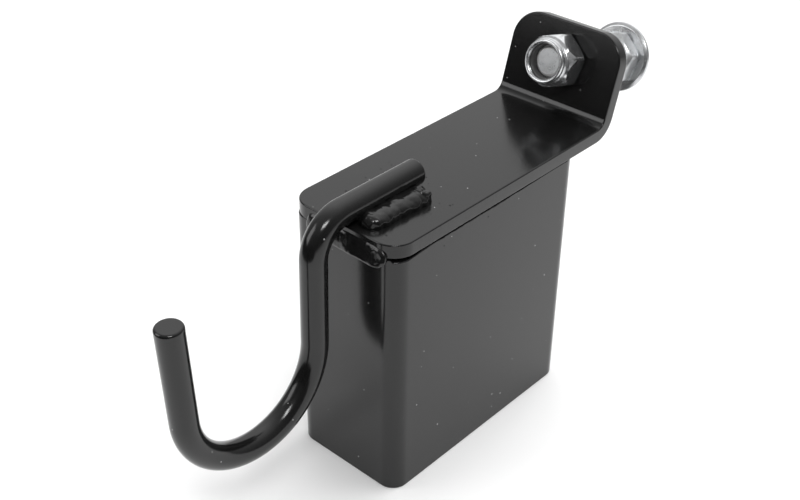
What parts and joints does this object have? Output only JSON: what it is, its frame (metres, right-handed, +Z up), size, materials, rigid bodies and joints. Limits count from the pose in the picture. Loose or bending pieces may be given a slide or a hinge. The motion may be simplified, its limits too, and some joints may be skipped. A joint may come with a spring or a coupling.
{
  "type": "welded hook bracket",
  "caption": "Black steel bracket: an open rectangular tube under a flat-bar cap with a round-bar J hook in front and an adjustable headed stud in a leaning rear flange.",
  "frame": {"origin": "under the middle of the whole bracket's box, level with the open lower end of the tube", "axes": "+X from the hook towards the headed stud, along the cap; +Y to the bracket's left; +Z up, along the tube"},
  "size_m": [0.24, 0.049, 0.1376],
  "materials": {
    "powder_coat": "satin black powder coat",
    "weld_coat": "glossier black powder coat over rough weld bead",
    "bright_zinc": "bright zinc plated steel",
    "nylon": "off-white nylon"
  },
  "bodies": {
    "bracket": {"stake_tube": "powder_coat", "top_plate": "powder_coat", "hook_rod": "powder_coat", "hook_weld_right": "weld_coat", "hook_weld_left": "weld_coat", "tube_weld_front": "weld_coat", "tube_weld_rear": "weld_coat"},
    "lock_nut_unit": {"lock_nut": "bright_zinc", "nylon_insert": "nylon"},
    "flange_nut": {"flange_jam_nut": "bright_zinc"},
    "stud_unit": {"headed_bolt": "bright_zinc", "head_jam_nut": "bright_zinc"}
  },
  "joints": [
    {"name": "lock_nut_turn", "type": "hinge", "parent": "bracket", "child": "lock_nut_unit", "pos_m": [0.07561, 0, 0.12343], "axis": [0.9588, 0, -0.284], "range_deg": [0, 4141]},
    {"name": "flange_nut_turn", "type": "hinge", "parent": "bracket", "child": "flange_nut", "pos_m": [0.07561, 0, 0.12343], "axis": [0.9588, 0, -0.284], "range_deg": [0, 4141]},
    {"name": "stud_travel", "type": "slide", "parent": "bracket", "child": "stud_unit", "axis": [-0.9588, 0, 0.284], "range_m": [0, 0.02013]}
  ],
  "couplings": [
    {"joint": "lock_nut_turn", "follows": "stud_travel", "rad_per_m": 3590.4},
    {"joint": "flange_nut_turn", "follows": "stud_travel", "rad_per_m": 3590.4}
  ]
}
